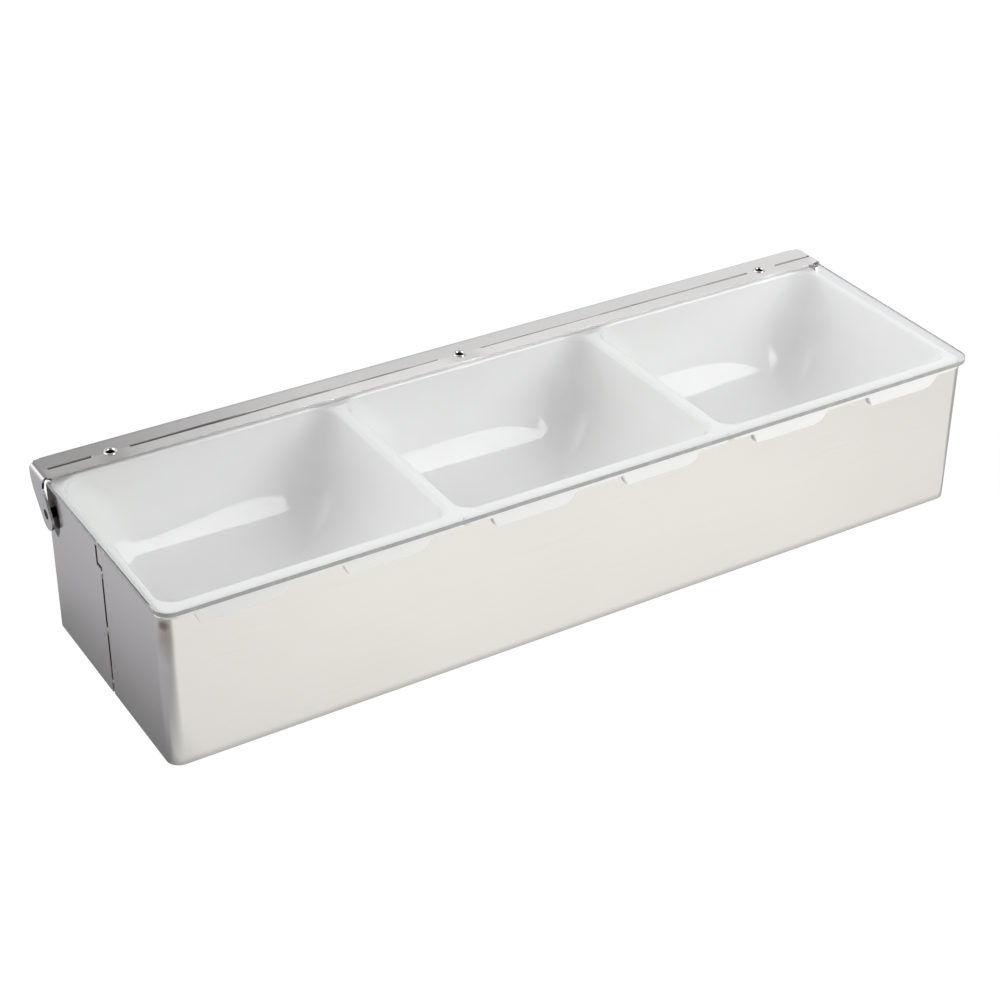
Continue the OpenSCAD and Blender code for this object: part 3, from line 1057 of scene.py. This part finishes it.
# painted shadow: darkest right next to the box's ends, lighter further out
side_shadow_tone = fm.ramp(fm.remap(out_x, 0.0, 0.10), [
    (0.0, (0.22, 0.22, 0.232)), (0.06, (0.285, 0.283, 0.30)), (0.15, (0.40, 0.397, 0.43)),
    (0.25, (0.485, 0.48, 0.52)), (0.60, (0.58, 0.575, 0.61)), (1.0, (0.68, 0.68, 0.70)),
])
ahead = fm.math(
    "MULTIPLY",
    fm.remap(sx.outputs["Y"], -0.041, -0.047, 0.0, 1.0),
    fm.remap(sx.outputs["X"], -0.178, -0.140, 0.0, 1.0),
)
behind = fm.math(
    "MULTIPLY", fm.remap(sx.outputs["Y"], 0.048, 0.10, 0.0, 0.8), fm.remap(out_x, 0.02, -0.02, 0.0, 1.0)
)
tm = fm.add("ShaderNodeMix")
tm.data_type = "RGBA"
fm.link(fm.math("MAXIMUM", ahead, behind), tm.inputs[0])
fm.link(side_shadow_tone, tm.inputs[6])
tm.inputs[7].default_value = (1.085, 1.082, 1.062, 1)
# painted shadow: slightly darker close to the front wall, towards the left and towards the front right
near_shadow = fm.math(
    "MULTIPLY",
    fm.remap(sx.outputs["Y"], -0.044, -0.080, 0.965, 1.0),
    fm.math(
        "MULTIPLY",
        fm.remap(sx.outputs["X"], -0.150, -0.050, 0.88, 1.0),
        fm.math(
            "MULTIPLY",
            fm.remap(sx.outputs["X"], 0.100, 0.190, 1.0, 0.92),
            fm.remap(
                fm.math("ADD", sx.outputs["X"], fm.math("MULTIPLY", sx.outputs["Y"], 1.25)), 0.100, 0.125, 1.0, 0.45
            ),
        ),
    ),
)
sidefall = fm.remap(sx.outputs["Y"], -0.03, 0.05, 0.78, 0.98)
tv = fm.add("ShaderNodeVectorMath")
tv.operation = "SCALE"
fm.link(tm.outputs[2], tv.inputs[0])
pick = fm.add("ShaderNodeMix")
fm.link(ahead, pick.inputs[0])
fm.link(sidefall, pick.inputs[2])
fm.link(near_shadow, pick.inputs[3])
fm.link(pick.outputs[0], tv.inputs["Scale"])
tone = tv.outputs[0]
fm.link(tone, e.inputs["Color"])
e.inputs["Strength"].default_value = 1.0
other = fm.add("ShaderNodeAddShader")
fm.link(d.outputs[0], other.inputs[0])
fm.link(e.outputs[0], other.inputs[1])
ec = fm.add("ShaderNodeEmission")
ec.inputs["Color"].default_value = (1, 1, 1, 1)
ec.inputs["Strength"].default_value = 0.93
dd = fm.add("ShaderNodeBsdfDiffuse")
dd.inputs["Color"].default_value = (0.10, 0.10, 0.10, 1)
both = fm.add("ShaderNodeAddShader")
fm.link(ec.outputs[0], both.inputs[0])
fm.link(dd.outputs[0], both.inputs[1])
lp = fm.add("ShaderNodeLightPath")
mx = fm.add("ShaderNodeMixShader")
fm.link(lp.outputs["Is Camera Ray"], mx.inputs["Fac"])
fm.link(other.outputs[0], mx.inputs[1])
fm.link(both.outputs[0], mx.inputs[2])
fm.link(mx.outputs[0], fm.out.inputs["Surface"])
floor.data.materials.append(fm.mat)

world = bpy.data.worlds.new("studio")
scene.world = world
world.use_nodes = True
wn = world.node_tree
wn.nodes.clear()


def wnode(kind, **kw):
    n = wn.nodes.new(kind)
    for k, v in kw.items():
        setattr(n, k, v)
    return n


def wlobe(direction, inner, outer):
    """1 towards a direction, falling to 0 between two angles in degrees."""
    dn = Vector(direction).normalized()
    tc = wnode("ShaderNodeTexCoord")
    dp = wnode("ShaderNodeVectorMath", operation="DOT_PRODUCT")
    dp.inputs[1].default_value = dn
    wn.links.new(tc.outputs["Generated"], dp.inputs[0])
    mr = wnode("ShaderNodeMapRange", interpolation_type="SMOOTHSTEP")
    mr.inputs["From Min"].default_value = math.cos(math.radians(outer))
    mr.inputs["From Max"].default_value = math.cos(math.radians(inner))
    wn.links.new(dp.outputs["Value"], mr.inputs["Value"])
    return mr.outputs["Result"]


def wscaled(value, k):
    m = wnode("ShaderNodeMath", operation="MULTIPLY")
    wn.links.new(value, m.inputs[0])
    m.inputs[1].default_value = k
    return m.outputs[0]


def wsum(a, b):
    m = wnode("ShaderNodeMath", operation="ADD")
    for i, v in enumerate((a, b)):
        if hasattr(v, "links"):
            wn.links.new(v, m.inputs[i])
        else:
            m.inputs[i].default_value = v
    return m.outputs[0]


# studio: pale all round, brighter behind on the right, darker behind the camera
glow = wsum(0.345, wscaled(wlobe((0.45, 0.90, 0.35), 10, 70), 0.36))
glow = wsum(glow, wscaled(wlobe((0.80, 0.62, 0.33), 4, 26), 0.50))
glow = wsum(glow, wscaled(wlobe((0.372, 0.644, 0.669), 3, 15), 0.65))
glow = wsum(glow, wscaled(wlobe((-0.78, 0.38, 0.50), 14, 46), 2.0))
# flags in front take light off the matt surfaces and aren't mirrored in the metal
flags = wsum(wscaled(wlobe((-0.80, -0.58, 0.32), 8, 46), -0.22), wscaled(wlobe((0.2, -1.0, 0.1), 10, 55), -0.20))
seen = wnode("ShaderNodeMath", operation="SUBTRACT")
seen.inputs[0].default_value = 1.0
wn.links.new(wnode("ShaderNodeLightPath").outputs["Is Glossy Ray"], seen.inputs[1])
masked = wnode("ShaderNodeMath", operation="MULTIPLY")
wn.links.new(flags, masked.inputs[0])
wn.links.new(seen.outputs[0], masked.inputs[1])
glow = wsum(glow, masked.outputs[0])
wo = wnode("ShaderNodeOutputWorld")
bg = wnode("ShaderNodeBackground")
bg.inputs["Color"].default_value = (1, 1, 1, 1)
wn.links.new(glow, bg.inputs["Strength"])
bgc = wnode("ShaderNodeBackground")
bgc.inputs["Color"].default_value = (1, 1, 1, 1)
lpw = wnode("ShaderNodeLightPath")
mw = wnode("ShaderNodeMixShader")
wn.links.new(lpw.outputs["Is Camera Ray"], mw.inputs["Fac"])
wn.links.new(bg.outputs[0], mw.inputs[1])
wn.links.new(bgc.outputs[0], mw.inputs[2])
wn.links.new(mw.outputs[0], wo.inputs["Surface"])


def softbox(name, loc, target, sx, sy, radiance):
    """Rectangular soft light of a given radiance."""
    l = bpy.data.lights.new(name, "AREA")
    l.shape = "RECTANGLE"
    l.size, l.size_y = sx, sy
    l.energy = radiance * math.pi * sx * sy
    o = bpy.data.objects.new(name, l)
    scene.collection.objects.link(o)
    o.location = loc
    o.rotation_mode = "QUATERNION"
    o.rotation_quaternion = (Vector(target) - Vector(loc)).to_track_quat("-Z", "Y")
    return o


# key in front on the right; the bowls' rear fillets mirror it
softbox("key", (0.62, -0.88, 0.66), (0, 0.0, 0.03), 0.76, 0.86, 5.2)

scene.view_settings.view_transform = "Standard"
scene.view_settings.look = "None"
scene.view_settings.exposure = 0.0
scene.view_settings.gamma = 1.0
